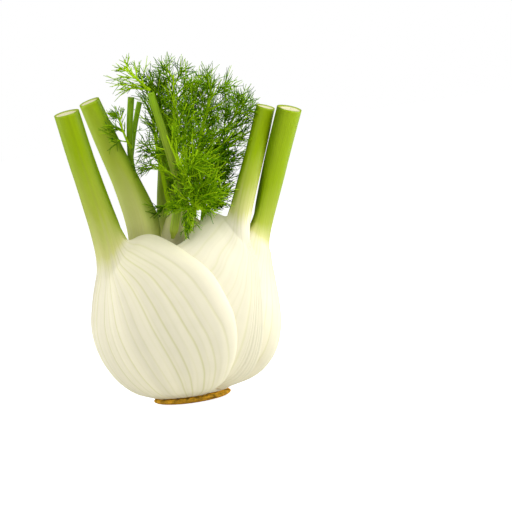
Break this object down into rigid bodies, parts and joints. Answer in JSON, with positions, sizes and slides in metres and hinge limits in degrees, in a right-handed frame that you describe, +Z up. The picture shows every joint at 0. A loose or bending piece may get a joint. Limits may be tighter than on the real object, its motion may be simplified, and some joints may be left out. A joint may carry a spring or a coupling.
{
  "type": "fennel bulb",
  "caption": "Whole fennel bulb with clasping white leaf bases, trimmed green stalks and feathery young fronds, standing on its corky root plate.",
  "frame": {"origin": "middle of the flat spot under the root plate", "axes": "+Z up along the standing bulb, +X to the bulb's right as seen from the front, +Y towards its back"},
  "size_m": [0.126, 0.0712, 0.1816],
  "materials": {
    "cork": "dry corky root tissue",
    "leaf": "smooth waxy leaf base, white below and green along the stalk",
    "heart": "pale young leaf bases",
    "young_stalk": "smooth green stalk",
    "frond": "soft feathery leaf"
  },
  "bodies": {
    "root": {"root_plate": "cork", "leaf_left_outer": "leaf", "leaf_right_front": "leaf", "leaf_right_back": "leaf", "leaf_left_inner": "leaf", "leaf_back": "leaf", "heart": "heart", "young_stalk_tall": "young_stalk", "young_stalk_short": "young_stalk", "side_shoot": "young_stalk", "frond_far_left": "frond", "frond_left": "frond", "frond_middle": "frond", "frond_right": "frond", "frond_far_right": "frond", "frond_front": "frond", "frond_low": "frond", "frond_low_right": "frond", "frond_rear": "frond", "frond_side_shoot": "frond"}
  },
  "joints": []
}
